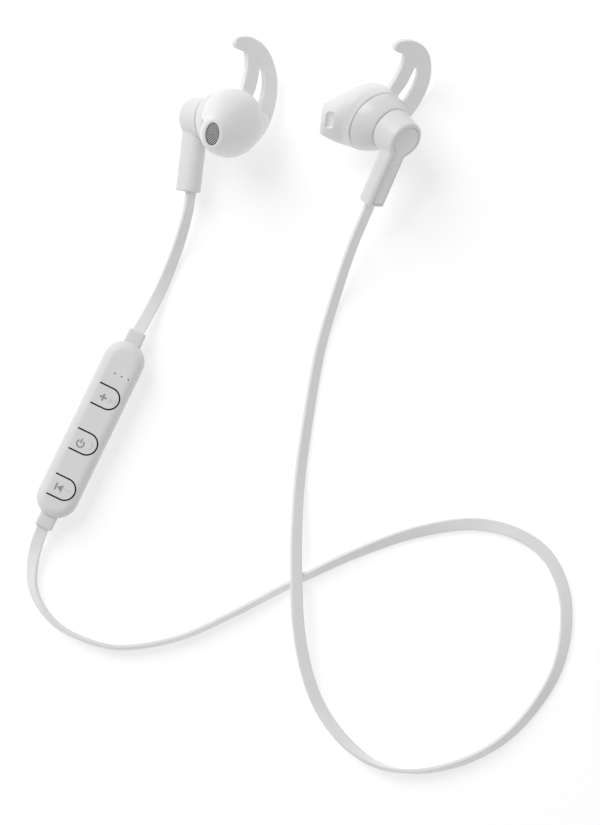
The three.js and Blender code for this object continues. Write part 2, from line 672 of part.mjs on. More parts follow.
const box = new THREE.Group();
box.position.set(...BOX_PLACE.at);
box.rotation.z = THREE.MathUtils.degToRad(BOX_PLACE.turnDeg);
addBox(box);
earphones.add(box);

addPiece(earphones, 'right_cable', cable(RIGHT_ROUTE, 12), COLOURS.cable, 0.6);
addPiece(earphones, 'neck_cable', cable(NECK_ROUTE, 66), COLOURS.cable, 0.6);

export default earphones;
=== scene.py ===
"""Wireless sport earphones lying flat: two in-ear buds on stems, a control box and two flat cables.

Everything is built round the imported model. Shapes are drawn in millimetres in the frame of a bud or of the
control box, and are scaled to metres when they are put in place.
"""

import json
import math

import bmesh
import bpy
from mathutils import Matrix, Vector


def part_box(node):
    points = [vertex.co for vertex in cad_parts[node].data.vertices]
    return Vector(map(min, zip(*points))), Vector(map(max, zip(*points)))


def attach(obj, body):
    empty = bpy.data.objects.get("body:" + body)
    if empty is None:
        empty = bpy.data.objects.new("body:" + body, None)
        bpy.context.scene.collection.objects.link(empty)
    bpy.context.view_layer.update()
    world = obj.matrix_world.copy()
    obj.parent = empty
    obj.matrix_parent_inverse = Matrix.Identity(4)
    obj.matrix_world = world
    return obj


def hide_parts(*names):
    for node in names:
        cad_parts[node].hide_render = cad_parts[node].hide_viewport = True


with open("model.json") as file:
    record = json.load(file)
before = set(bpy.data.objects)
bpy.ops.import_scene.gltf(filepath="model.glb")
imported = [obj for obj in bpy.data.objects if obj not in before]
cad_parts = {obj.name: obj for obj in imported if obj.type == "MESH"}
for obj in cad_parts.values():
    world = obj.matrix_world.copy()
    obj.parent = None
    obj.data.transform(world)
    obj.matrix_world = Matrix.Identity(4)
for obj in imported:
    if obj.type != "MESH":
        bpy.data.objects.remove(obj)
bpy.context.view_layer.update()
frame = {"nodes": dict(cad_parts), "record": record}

MM = 0.001
TURN = 2 * math.pi

# ------------------------------------------------------------------ driving dimensions, in millimetres
GAP = 0.3
WALL = 1.0
RING = 96  # points round a turned or lofted section
SEAM = 0.05  # half of the fine line between two covers

BODY = {"x": 0.6, "z": 0.9, "back": 4.7, "rim": 5.4, "front": 6.1, "rim_y": 1.2, "front_y": 7.0}
DRUM_FLOOR = 1.9  # how far forward the hollow of the rear body starts
STEM = {"width": 6.2, "depth": 5.8, "back_corner": 1.3, "front_corner": 2.8, "bottom": -19.3, "wall": 1.1}
STEM_END = {"wall": 1.6, "hole_half": 2.2, "hole_back": 1.6, "hole_front": 4.2}
COVER = {"radius": 4.1, "half_strip": 1.9, "thickness": 0.7, "bottom": -18.6, "corner": 0.8, "ledge": 0.9}
CONE = {"back": 6.2, "front": 8.8, "front_y": 12.7, "swell": 0.35}
CONE_LIP = 0.25  # length of the rounded edges at the cone's two ends
PAD_Y = 5.6  # how far in front of the bud's origin the middle of its felt pad lies
NOZZLE = {"mouth": (-11.7, 20.7, -4.2), "root": (0, 10.5, 0), "wide": 1.8, "tall": 3.15, "wall": 0.5}
TIP = {"rim": 9.1, "wide_x": -0.45, "wide_half": 9.9, "wide_tall": 9.45, "wide_y": 15.3, "lean": 0.09}
MOUTH_WALL = 0.5  # the cap round the nozzle's mouth
MOUTH_FLARE = 0.4  # how much wider the cap is just behind its mouth
DOME = {"stub": 6.5, "bulge": 0.2, "cap_bulge": 0.7, "power": 2 / 3}
# How round the cap's front is in the middle, and how much more so to the fin's side and the top.
FULLNESS = {"middle": 0.6, "side": 0.4, "top": 0.25}
FIN = {"centre_y": 15.5, "thickness": 1.7, "root": (3, 0)}

# The fin's outline, its slot and its thick foot, as x and z in a bud's frame.
FIN_HOOK = [
    (3.4, -8.6), (6.8, -7.3), (9.7, -4.8), (12.7, -1.6), (14.6, 2.0), (15.8, 5.9), (16.1, 10.1),
    (15.5, 13.9), (13.9, 17.5), (11.3, 20.7), (7.7, 23.0), (3.6, 23.95), (0.3, 23.75), (-1.9, 22.85),
    (-2.35, 21.4), (-1.5, 20.4), (-0.2, 20.0), (2.65, 19.6),
]
FIN_BRACE = [(2.65, 19.5), (3.2, 16.4), (3.0, 13.4), (2.5, 10.5), (2.1, 9.0)]
FIN_SLOT_OUTER = [(8.3, 16.8), (9.9, 15.2), (10.75, 12.3), (10.7, 9.2), (9.9, 5.6)]
FIN_SLOT_INNER = [(6.5, 7.2), (7.6, 10.2), (8.0, 12.5), (8.2, 14.9), (8.3, 16.8)]
WEB = [
    (3.2, -8.3), (6.6, -7.0), (9.4, -4.6), (12.1, -1.5), (13.4, 1.4), (13.0, 3.4), (10.0, 4.5),
    (6.5, 6.4), (0, 6),
]
WEB_CENTRE = (5, -1)
# How far forward each section of the foot is, and its share of the foot's outline.
WEB_SECTIONS = [(14.9, 0.96), (15.9, 1), (16.5, 0.98), (17.2, 0.92), (17.9, 0.83), (18.6, 0.7), (19.3, 0.5)]

# The pocket behind the nozzle's lip: where it starts and ends along the nozzle, and its share at the floor.
POCKET = {
    "from": -3.3, "to": -1.1, "half_tall": 2.3, "lift": 1.0, "depth": 0.45, "corner": 0.6, "floor": 0.85,
}
WEAVE_PITCH = 0.48
WEAVE_DEPTH = 0.38  # how far the wire disc sits inside the nozzle's mouth
WEAVE_EASE = 0.02  # its clearance in the nozzle
# The wire disc's sections: share of its full size, and height.
WEAVE_SECTIONS = [(0.97, -0.3), (1, -0.05), (0.98, 0), (0.8, 0.07), (0.55, 0.13), (0.3, 0.17), (0.08, 0.18)]

BOX = {
    "half_length": 26.1, "half_width": 5.7, "height": 8.2, "top_edge": 2.8, "bottom_edge": 2.2, "split": 4.1,
}
COLLAR = {"width": 4.9, "height": 3.6, "tip": 29.6, "inner": 24.2, "edge": 0.7}
# The collar's sections: share of its length from the box, and how far its sides draw in.
COLLAR_SECTIONS = [(0, 0.1), (0.1, 0), (0.88, 0.02), (0.94, 0.06), (0.98, 0.16), (1, 0.34)]
BUTTON = {"hinge": -3.2, "arc": 0.8, "radius": 3.15, "spacing": 13.65, "first": 9.7}
KEYS = ["volume_up", "power", "volume_down"]
KEY_Y = [BUTTON["first"] - i * BUTTON["spacing"] for i in range(len(KEYS))]
KEY_SLOT_EASE = 0.06  # how much wider than the CAD's the slot round a key is, on each side; its walls are painted near-black as shade
POST = {"x": 0.8, "radius": 0.7, "length": 0.5}
PORT = {"y": -15.6, "length": 8.6, "low": 2.2, "high": 5.3, "depth": 1.0, "seam": 0.12, "notch": 0.6}
HOLES = {"xs": (-0.6, 1.4, 3.4), "y": 16.6, "radius": 0.21}
THROUGH_TOP = (5, 10)  # heights between which a cutter passes through the top of the box
INK = 0.03  # thickness of a printed symbol
INK_STEP = 0.15  # each further stroke of a symbol is this share thicker

# ------------------------------------------------------------------ driving dimensions, in metres
CABLE = {"width": 0.0034, "thickness": 0.0012, "corner": 0.00034, "rest": 0.00005}
CABLE_STEPS = 8  # sections between two points of a route
CABLE_LINES = (9000, 130)  # fine lines per metre, across the cable and along it
TUCK_IN_COLLAR = 0.0008
TUCK_IN_STEM = 0.0026
CAMERA = {"at": (0.0182, -0.0350, 2.0), "lens": 321, "sensor": 36, "near": 0.05, "far": 20}
KEY_LIGHT = {"at": (-0.8, 1.0, 1.2), "size": 1.1, "power": 14.0}
SKY_STRENGTH = 0.52
FLOOR = {"half": 4.0, "shade": 0.76, "glow": 0.42}

# Cable routes in metres: x, y, height above where the cable would lie flat out, and its roll in degrees.
RIGHT_ROUTE = [
    (-0.01155, 0.0236, 0.0044, -47), (-0.01235, 0.0190, 0.0039, -45), (-0.0142, 0.0124, 0.0020, -38),
    (-0.0168, 0.0052, 0.0005, -30), (-0.0197, -0.0017, 0.0003, -20), (-0.0227, -0.0076, 0.0018, -8),
    (-0.0255, -0.0126, 0.00345, 0),
]
NECK_ROUTE = [
    (-0.0518, -0.0667, 0.00345, 0), (-0.0534, -0.0712, 0.0019, 12), (-0.0545, -0.0770, 0.0004, 35),
    (-0.0543, -0.0825, 0, 52), (-0.0517, -0.0884, 0, 66), (-0.0470, -0.0933, 0, 74),
    (-0.0410, -0.0964, 0, 80), (-0.0330, -0.0987, 0, 80), (-0.0253, -0.0985, 0, 78),
    (-0.0140, -0.0960, 0, 75), (-0.0008, -0.0901, 0, 71), (0.0171, -0.0808, 0, 63),
    (0.0345, -0.0727, 0, 46), (0.0500, -0.0674, 0, 26), (0.0653, -0.0653, 0, 8),
    (0.0765, -0.0677, 0, -8), (0.0850, -0.0735, 0, -8), (0.0897, -0.0830, 0, -12),
    (0.0904, -0.0935, 0, -20), (0.0880, -0.1045, 0, -32), (0.0815, -0.1155, 0, -44),
    (0.0726, -0.1244, 0, -54), (0.0610, -0.1303, 0, -66), (0.0492, -0.1325, 0, -80),
    (0.0390, -0.1306, 0, -108), (0.0307, -0.1246, 0, -144), (0.0238, -0.1154, 0.0004, -162),
    (0.0200, -0.1055, 0.0018, -166), (0.0178, -0.0935, 0.0033, -162), (0.0172, -0.0808, 0.0035, -156),
    (0.0172, -0.0680, 0.0024, -148), (0.0180, -0.0540, 0.0005, -142), (0.0201, -0.0380, 0, -138),
    (0.0236, -0.0180, 0, -136), (0.0275, -0.0044, 0.0009, -135), (0.0322, 0.0096, 0.00495, -133),
    (0.0367, 0.0203, 0.0089, -132),
]


# ------------------------------------------------------------------ camera
def add_camera():
    data = bpy.data.cameras.new("camera")
    data.sensor_width = CAMERA["sensor"]
    data.lens = CAMERA["lens"]
    data.clip_start = CAMERA["near"]
    data.clip_end = CAMERA["far"]
    camera = bpy.data.objects.new("camera", data)
    camera.location = CAMERA["at"]
    bpy.context.scene.collection.objects.link(camera)
    bpy.context.scene.camera = camera


# ------------------------------------------------------------------ mesh helpers
def new_object(name, points, faces):
    mesh = bpy.data.meshes.new(name)
    mesh.from_pydata([tuple(p) for p in points], [], faces)
    work = bmesh.new()
    work.from_mesh(mesh)
    bmesh.ops.recalc_face_normals(work, faces=work.faces)
    work.to_mesh(mesh)
    work.free()
    obj = bpy.data.objects.new(name, mesh)
    bpy.context.scene.collection.objects.link(obj)
    return obj


def loft(name, rings):
    """A closed body through rings that all have the same number of points."""
    count = len(rings[0])
    points = [p for ring in rings for p in ring]
    faces = []
    for r in range(len(rings) - 1):
        for i in range(count):
            j = (i + 1) % count
            faces.append((r * count + i, r * count + j, (r + 1) * count + j, (r + 1) * count + i))
    faces.append(tuple(range(count))[::-1])
    faces.append(tuple((len(rings) - 1) * count + i for i in range(count)))
    return new_object(name, points, faces)


def prism_along_z(name, outline, low, high):
    return loft(name, [[Vector((x, y, z)) for x, y in outline] for z in (low, high)])


def prism_along_y(name, outline, low, high):
    return loft(name, [[Vector((x, y, z)) for x, z in outline] for y in (low, high)])


def block(name, low, high):
    outline = [(low[0], low[1]), (high[0], low[1]), (high[0], high[1]), (low[0], high[1])]
    return prism_along_z(name, outline, low[2], high[2])


def rod_along_z(name, x, y, radius, low, high, count=24):
    return prism_along_z(name, circle(x, y, radius, count), low, high)


def arc(x, y, radius, start, end, steps):
    """Points of an arc, with both its ends."""
    angles = [start + (end - start) * i / steps for i in range(steps + 1)]
    return [(x + radius * math.cos(a), y + radius * math.sin(a)) for a in angles]


def circle(x, y, radius, count):
    return arc(x, y, radius, 0, TURN, count)[:-1]


def rounded_rectangle(half_x, half_y, corner, steps, extra=()):
    """An outline with round corners. extra gives shares of half_x for more points on its two long sides."""
    flat_x = half_x - corner
    flat_y = half_y - corner
    outline = []
    for quarter, (x, y) in enumerate(((1, 1), (-1, 1), (-1, -1), (1, -1))):
        start = quarter * TURN / 4
        outline += arc(x * flat_x, y * flat_y, corner, start, start + TURN / 4, steps)
        if quarter % 2 == 0:
            outline += [(x * flat_x * share, y * half_y) for share in extra]
    return outline


def applied(obj):
    """Turns an object's modifiers into its own mesh."""
    bpy.context.view_layer.update()
    graph = bpy.context.evaluated_depsgraph_get()
    mesh = bpy.data.meshes.new_from_object(obj.evaluated_get(graph), depsgraph=graph)
    obj.modifiers.clear()
    obj.data = mesh
    return obj


def combined(obj, operation, others, inside=0):
    """Cuts other bodies from obj, joins them to it, or keeps what they share.

    Faces that come from the other bodies get the material numbered inside.
    """
    for other in others:
        for polygon in other.data.polygons:
            polygon.material_index = inside
        modifier = obj.modifiers.new(operation, "BOOLEAN")
        modifier.operation = operation
        modifier.solver = "EXACT"
        modifier.object = other
    applied(obj)
    for other in others:
        bpy.data.objects.remove(other)
    return obj


def cut(obj, *others, inside=0):
    return combined(obj, "DIFFERENCE", others, inside)


def kept_inside(obj, other, inside=0):
    return combined(obj, "INTERSECT", [other], inside)


def joined(name, *parts):
    """One object that holds the meshes of several, which may pass through each other."""
    work = bmesh.new()
    for part in parts:
        work.from_mesh(part.data)
        bpy.data.objects.remove(part)
    mesh = bpy.data.meshes.new(name)
    work.to_mesh(mesh)
    work.free()
    obj = bpy.data.objects.new(name, mesh)
    bpy.context.scene.collection.objects.link(obj)
    return obj


def fused(obj, voxel, passes):
    """Melts overlapping bodies into one skin, with soft fillets and edges."""
    remesh = obj.modifiers.new("fuse", "REMESH")
    remesh.mode = "VOXEL"
    remesh.voxel_size = voxel
    soften = obj.modifiers.new("soften", "SMOOTH")
    soften.factor = 0.5
    soften.iterations = passes
    return applied(obj)


def rounded(obj, width, angle=40):
    """Small rounded edges where faces meet at more than an angle."""
    modifier = obj.modifiers.new("round", "BEVEL")
    modifier.width = width
    modifier.segments = 2
    modifier.limit_method = "ANGLE"
    modifier.angle_limit = math.radians(angle)
    modifier.use_clamp_overlap = True
    return applied(obj)


def smooth(obj, angle=35):
    obj.data.shade_smooth()
    obj.data.set_sharp_from_angle(angle=math.radians(angle))
    return obj


# ------------------------------------------------------------------ placing
def middle(node):
    low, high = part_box(node)
    return (low + high) / 2


def basis(x_axis, y_axis, z_axis, origin):
    matrix = Matrix((x_axis, y_axis, z_axis)).transposed().to_4x4()
    matrix.translation = origin
    return matrix


def bud_matrix(side):
    """A bud's frame, from its felt, magnet and grommet: +Y forward to the ear, -Z down the stem."""
    pad = middle(f"{side}_damping_pad")
    forward = (middle(f"{side}_driver_magnet") - pad).normalized()
    origin = pad - forward * PAD_Y * MM
    down = middle(f"{side}_cable_grommet") - origin
    up = -(down - forward * down.dot(forward)).normalized()
    return basis(forward.cross(up), forward, up, origin)


def box_matrix():
    """The control box's frame, from its collars: +Y to the upper collar, +Z up."""
    upper = middle("upper_collar")
    lower = middle("lower_collar")
    along = (upper - lower).normalized()
    up = Vector((0, 0, 1))
    origin = (upper + lower) / 2 - up * BOX["height"] / 2 * MM
    return basis(along.cross(up), along, up, origin)


def placed(obj, matrix, body, nodes=(), mirrored=False):
    """Scales a piece to metres, puts it in its frame, and makes it ride and stand for its CAD nodes."""
    if mirrored:
        obj.data.transform(Matrix.Scale(-1, 4, (1, 0, 0)))
        obj.data.flip_normals()
    obj.data.transform(matrix @ Matrix.Scale(MM, 4))
    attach(obj, body)
    if nodes:
        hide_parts(*nodes)
    return obj


def paint(obj, *materials):
    obj.data.materials.clear()
    for material in materials:
        obj.data.materials.append(material)
    return obj


# ------------------------------------------------------------------ material helpers
def node_maker(material):
    tree = material.node_tree

    def make(kind, **settings):
        node = tree.nodes.new(kind)
        for key, value in settings.items():
            setattr(node, key, value)
        return node

    return tree, make


def new_material(name, colour, roughness, metallic=0.0):
    material = bpy.data.materials.new(name)
    material.use_nodes = True
    shader = material.node_tree.nodes["Principled BSDF"]
    shader.inputs["Base Color"].default_value = (*colour, 1)
    shader.inputs["Roughness"].default_value = roughness
    shader.inputs["Metallic"].default_value = metallic
    return material, shader


def noise(make, tree, source, scale, detail=3.0):
    node = make("ShaderNodeTexNoise")
    node.inputs["Scale"].default_value = scale
    node.inputs["Detail"].default_value = detail
    tree.links.new(source, node.inputs["Vector"])
    return node.outputs["Fac"]


def ranged(make, tree, value, low, high, from_low=0.3, from_high=0.7):
    node = make("ShaderNodeMapRange")
    node.inputs["From Min"].default_value = from_low
    node.inputs["From Max"].default_value = from_high
    node.inputs["To Min"].default_value = low
    node.inputs["To Max"].default_value = high
    tree.links.new(value, node.inputs["Value"])
    return node.outputs["Result"]


def tinted(make, tree, value, dark, light):
    node = make("ShaderNodeMix", data_type="RGBA")
    node.inputs[6].default_value = (*dark, 1)
    node.inputs[7].default_value = (*light, 1)
    tree.links.new(value, node.inputs["Factor"])
    return node.outputs[2]


def bumped(make, tree, shader, height, depth):
    node = make("ShaderNodeBump")
    node.inputs["Strength"].default_value = 1.0
    node.inputs["Distance"].default_value = depth
    tree.links.new(height, node.inputs["Height"])
    tree.links.new(node.outputs["Normal"], shader.inputs["Normal"])


def moulded(name, colour, roughness, grain, depth, mottle=0.03, patch=160, worn=0.0, metallic=0.0):
    """Moulded or coated stuff: soft patches of shade, a fine grain, and edges that are a little polished.

    grain is in features per metre, depth in metres, and patch in patches per metre.
    """
    material, shader = new_material(name, colour, roughness, metallic)
    tree, make = node_maker(material)
    place = make("ShaderNodeTexCoord").outputs["Object"]
    patches = ranged(make, tree, noise(make, tree, place, patch), 0, 1)
    dark = [c * (1 - mottle) for c in colour]
    tree.links.new(tinted(make, tree, patches, dark, colour), shader.inputs["Base Color"])
    spread = ranged(make, tree, noise(make, tree, place, patch * 5), roughness - 0.05, roughness + 0.05)
    if worn:
        edges = make("ShaderNodeNewGeometry").outputs["Pointiness"]
        polish = ranged(make, tree, edges, 0, worn, 0.5, 0.6)
        less = make("ShaderNodeMath", operation="SUBTRACT")
        tree.links.new(spread, less.inputs[0])
        tree.links.new(polish, less.inputs[1])
        spread = less.outputs[0]
    tree.links.new(spread, shader.inputs["Roughness"])
    bumped(make, tree, shader, noise(make, tree, place, grain, 2.0), depth)
    return material, shader


# ------------------------------------------------------------------ materials
def shell_plastic():
    """Smooth, slightly glossy white ABS of the buds."""
    material, shader = moulded("shell_plastic", (0.80, 0.80, 0.798), 0.33, 2600, 0.000006, worn=0.08)
    shader.inputs["Subsurface Weight"].default_value = 0.08
    shader.inputs["Subsurface Radius"].default_value = (0.0012, 0.0011, 0.001)
    shader.inputs["Coat Weight"].default_value = 0.12
    shader.inputs["Coat Roughness"].default_value = 0.2
    return material


def box_plastic():
    """Finely spark-eroded, matt white plastic of the control box."""
    material, shader = moulded("box_plastic", (0.80, 0.80, 0.80), 0.5, 5200, 0.000014, worn=0.1)
    shader.inputs["Subsurface Weight"].default_value = 0.05
    shader.inputs["Subsurface Radius"].default_value = (0.0010, 0.0010, 0.0010)
    return material


def silicone():
    """Soft, slightly translucent white silicone with a dusty sheen."""
    material, shader = moulded("silicone", (0.90, 0.90, 0.898), 0.5, 1900, 0.000012, mottle=0.04, patch=110)
    shader.inputs["Subsurface Weight"].default_value = 0.75
    shader.inputs["Subsurface Radius"].default_value = (0.0040, 0.0039, 0.0038)
    shader.inputs["Sheen Weight"].default_value = 0.15
    shader.inputs["Sheen Roughness"].default_value = 0.5
    return material


def cable_rubber():
    """Satin elastomer, drawn out in one direction, with fine lines along its length."""
    colour = (0.90, 0.90, 0.898)
    material, shader = new_material("cable_rubber", colour, 0.45)
    tree, make = node_maker(material)
    run = make("ShaderNodeUVMap", uv_map="run").outputs["UV"]
    stretch = make("ShaderNodeMapping")
    stretch.inputs["Scale"].default_value = (*CABLE_LINES, 1)
    tree.links.new(run, stretch.inputs["Vector"])
    lines = noise(make, tree, stretch.outputs["Vector"], 1.0, 2.0)
    place = make("ShaderNodeTexCoord").outputs["Object"]
    patches = ranged(make, tree, noise(make, tree, place, 90), 0, 1)
    dark = [c * 0.96 for c in colour]
    tree.links.new(tinted(make, tree, patches, dark, colour), shader.inputs["Base Color"])
    tree.links.new(ranged(make, tree, lines, 0.38, 0.52), shader.inputs["Roughness"])
    bumped(make, tree, shader, lines, 0.000012)
    shader.inputs["Subsurface Weight"].default_value = 0.12
    shader.inputs["Subsurface Radius"].default_value = (0.0010, 0.0010, 0.0010)
    return material


def collar_rubber():
    """Matt elastomer of the strain reliefs, the port cover and the grommets."""
    material, shader = moulded("collar_rubber", (0.78, 0.78, 0.778), 0.55, 3000, 0.000014, mottle=0.04)
    shader.inputs["Sheen Weight"].default_value = 0.1
    return material


def painted_slot_shade():
    """Painted shade: near-black walls of the narrow slots round the keys and of the small holes in the top,
    where shade falls inside them.
    """
    material, shader = moulded("painted_slot_shade", (0.012, 0.012, 0.013), 0.8, 4000, 0.00001, mottle=0.3)
    shader.inputs["Specular IOR Level"].default_value = 0.2
    return material


def ink(name, shade):
    """Pad-printed ink, a little uneven in cover."""
    material, _ = moulded(name, (shade, shade, shade), 0.6, 9000, 0.000006, mottle=0.12, patch=2200)
    return material


def woven_wire():
    """Fine wire cloth, a plain weave drawn in the plane of the disc, with painted shade in its openings."""
    material, shader = new_material("woven_wire", (0.5, 0.5, 0.5), 0.38, 0.75)
    tree, make = node_maker(material)
    turned = make("ShaderNodeMapping")
    turned.inputs["Rotation"].default_value = (0, 0, math.radians(45))
    tree.links.new(make("ShaderNodeTexCoord").outputs["Object"], turned.inputs["Vector"])
    split = make("ShaderNodeSeparateXYZ")
    tree.links.new(turned.outputs["Vector"], split.inputs["Vector"])

    def math_node(operation, first, second=None):
        node = make("ShaderNodeMath", operation=operation)
        tree.links.new(first, node.inputs[0])
        if isinstance(second, float):
            node.inputs[1].default_value = second
        elif second is not None:
            tree.links.new(second, node.inputs[1])
        return node.outputs[0]

    per_metre = math.pi / (WEAVE_PITCH * MM)
    phases = [math_node("MULTIPLY", split.outputs[axis], per_metre) for axis in ("X", "Y")]
    waves = [math_node("SINE", phase) for phase in phases]
    warp, weft = [math_node("ABSOLUTE", wave) for wave in waves]
    over = math_node("GREATER_THAN", math_node("MULTIPLY", waves[0], waves[1]), 0.0)
    top = make("ShaderNodeMix", data_type="FLOAT")
    tree.links.new(over, top.inputs["Factor"])
    tree.links.new(warp, top.inputs[2])
    tree.links.new(weft, top.inputs[3])
    wire = ranged(make, tree, math_node("MAXIMUM", warp, weft), 0, 1, 0.55, 0.95)
    height = math_node("MULTIPLY", top.outputs[0], wire)
    # Painted shade: near-black in the weave's openings and where a wire runs under another, the wire's own
    # grey on its crowns.
    shade = tinted(make, tree, height, (0.11, 0.11, 0.113), (0.72, 0.72, 0.72))
    tree.links.new(shade, shader.inputs["Base Color"])
    bumped(make, tree, shader, height, 0.00008)
    return material


def membrane_rubber():
    """Dead-black rubber of the sheet under the keys."""
    material, shader = moulded("key_rubber", (0.02, 0.02, 0.02), 0.85, 3000, 0.00002, mottle=0.3)
    shader.inputs["Specular IOR Level"].default_value = 0.2
    return material


def inner_materials():
    """Stuff of the pieces inside the housings."""
    board, _ = moulded("board_green", (0.03, 0.17, 0.09), 0.35, 1500, 0.00002, mottle=0.35, patch=900)
    steel, _ = moulded("plain_steel", (0.58, 0.59, 0.60), 0.3, 2500, 0.00001, mottle=0.12, metallic=1.0)
    tin, _ = moulded("tin_plate", (0.66, 0.67, 0.68), 0.36, 1800, 0.00001, mottle=0.1, metallic=1.0)
    foil, _ = moulded("pouch_foil", (0.62, 0.63, 0.64), 0.42, 700, 0.00006, mottle=0.1, metallic=0.9)
    black, _ = moulded("black_plastic", (0.03, 0.03, 0.032), 0.5, 3500, 0.00001, mottle=0.3)
    film, _ = moulded("amber_film", (0.66, 0.55, 0.28), 0.3, 600, 0.00002, mottle=0.12)
    felt, _ = moulded("grey_felt", (0.22, 0.22, 0.23), 0.95, 5200, 0.00009, mottle=0.3, patch=1500)
    return {
        "board": board, "steel": steel, "tin_plate": tin, "foil": foil,
        "black_plastic": black, "key_rubber": membrane_rubber(), "film": film, "felt": felt,
    }


# ------------------------------------------------------------------ cables
def cable_line(route, steps):
    """The centre points of a cable and the roll at each, through a centripetal spline of its route."""
    spots = [Vector(point[:3]) for point in route]
    spots = [spots[0] * 2 - spots[1], *spots, spots[-1] * 2 - spots[-2]]
    line = []
    for k in range(len(route) - 1):
        p0, p1, p2, p3 = spots[k:k + 4]
        d0, d1, d2 = [math.sqrt((b - a).length) for a, b in ((p0, p1), (p1, p2), (p2, p3))]
        t1 = ((p1 - p0) / d0 - (p2 - p0) / (d0 + d1) + (p2 - p1) / d1) * d1
        t2 = ((p2 - p1) / d1 - (p3 - p1) / (d1 + d2) + (p3 - p2) / d2) * d1
        last = k == len(route) - 2
        for s in range(steps + (1 if last else 0)):
            t = s / steps
            bend = (p1 - p2) * 2 + t1 + t2
            sway = (p2 - p1) * 3 - t1 * 2 - t2
            point = ((bend * t + sway) * t + t1) * t + p1
            roll = math.radians(route[k][3] + (route[k + 1][3] - route[k][3]) * t)
            edge = (CABLE["width"] - CABLE["thickness"]) / 2
            point.z = max(point.z, 0) + CABLE["thickness"] / 2 + edge * abs(math.sin(roll)) + CABLE["rest"]
            line.append((point, roll))
    return line


def cable_section():
    """A flat strip with rounded edges: (across, through) points."""
    return rounded_rectangle(CABLE["width"] / 2, CABLE["thickness"] / 2, CABLE["corner"], 4, (0.5, 0, -0.5))


def add_run_uvs(obj, count, lengths):
    """UVs in metres: round the cable's section of count points, and along its length."""
    layer = obj.data.uv_layers.new(name="run")
    perimeter = 2 * (CABLE["width"] + CABLE["thickness"])
    for polygon in obj.data.polygons:
        places = [obj.data.loops[k].vertex_index % count for k in polygon.loop_indices]
        wraps = max(places) - min(places) > count / 2
        for k, place in zip(polygon.loop_indices, places):
            turn = place + (count if wraps and place == 0 else 0)
            ring = obj.data.loops[k].vertex_index // count
            layer.data[k].uv = (turn / count * perimeter, lengths[ring])


def add_cable(node, route, tucks, material):
    """A flat cable along its route, with each end tucked into the piece that holds it."""
    line = cable_line(route, CABLE_STEPS)
    for end, beyond, tuck in ((0, 1, tucks[0]), (-1, -2, tucks[1])):
        out = (line[end][0] - line[beyond][0]).normalized() * tuck
        tucked = (line[end][0] + out, line[end][1])
        line.insert(0 if end == 0 else len(line), tucked)
    section = cable_section()
    rings = []
    lengths = [0.0]
    for i, (point, roll) in enumerate(line):
        before = line[max(i - 1, 0)][0]
        after = line[min(i + 1, len(line) - 1)][0]
        along = (after - before).normalized()
        side = Vector((-along.y, along.x, 0)).normalized()
        lift = along.cross(side)
        across = side * math.cos(roll) + lift * math.sin(roll)
        through = along.cross(across)
        rings.append([point + across * a + through * b for a, b in section])
        if i:
            lengths.append(lengths[-1] + (point - line[i - 1][0]).length)
    obj = loft(f"{node}_flat", rings)
    add_run_uvs(obj, len(section), lengths)
    smooth(obj, 50)
    paint(obj, material)
    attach(obj, "root")
    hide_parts(node)


# ------------------------------------------------------------------ bud shapes
def round_ring(y, radius, x=0.0, z=0.0):
    return [Vector((a, y, b)) for a, b in circle(x, z, radius, RING)]


NOZZLE_MOUTH = Vector(NOZZLE["mouth"])
NOZZLE_AXIS = (NOZZLE_MOUTH - Vector(NOZZLE["root"])).normalized()
NOZZLE_TALL = (Vector((0, 0, 1)) - NOZZLE_AXIS * NOZZLE_AXIS.z).normalized()
NOZZLE_WIDE = NOZZLE_AXIS.cross(NOZZLE_TALL)


def nozzle_ring(along, wide, tall):
    """An oval ring square to the nozzle, at a distance along it from its mouth."""
    centre = NOZZLE_MOUTH + NOZZLE_AXIS * along
    return [centre + NOZZLE_WIDE * a * wide + NOZZLE_TALL * b * tall for a, b in circle(0, 0, 1, RING)]


def ring_middle(ring):
    return sum(ring, Vector()) / len(ring)


def blend_rings(first, last, steps, bulge):
    """Rings that change evenly from the first to the last, and bulge out between them."""
    rings = []
    for s in range(steps + 1):
        t = s / steps
        ring = [a.lerp(b, t) for a, b in zip(first, last)]
        centre = ring_middle(ring)
        rings.append([p + (p - centre).normalized() * bulge * 4 * t * (1 - t) for p in ring])
    return rings


def stem_outline(inset):
    half = STEM["width"] / 2 - inset
    back = inset
    front = STEM["depth"] - inset
    back_corner = max(STEM["back_corner"] - inset, 0.2)
    front_corner = STEM["front_corner"] - inset
    quarter = TURN / 4
    outline = arc(half - back_corner, back + back_corner, back_corner, -quarter, 0, 8)
    outline += arc(half - front_corner, front - front_corner, front_corner, 0, quarter, 12)
    outline += arc(-half + front_corner, front - front_corner, front_corner, quarter, 2 * quarter, 12)
    outline += arc(-half + back_corner, back + back_corner, back_corner, 2 * quarter, 3 * quarter, 8)
    return outline


def keyhole(grow):
    """The back cover's outline: a disc with a strip down the stem."""
    radius = COVER["radius"] + grow
    half = COVER["half_strip"] + grow
    neck = math.asin(half / radius)
    end = COVER["corner"]
    bottom = COVER["bottom"] - grow
    quarter = TURN / 4
    outline = arc(BODY["x"], BODY["z"], radius, -quarter + neck, 3 * quarter - neck, 64)
    blend_z = BODY["z"] - radius * math.cos(neck) - 1
    outline.append((-half, blend_z))
    outline += arc(-half + end, bottom + end, end, 2 * quarter, 3 * quarter, 6)
    outline += arc(half - end, bottom + end, end, 3 * quarter, 4 * quarter, 6)
    outline.append((half, blend_z))
    return outline


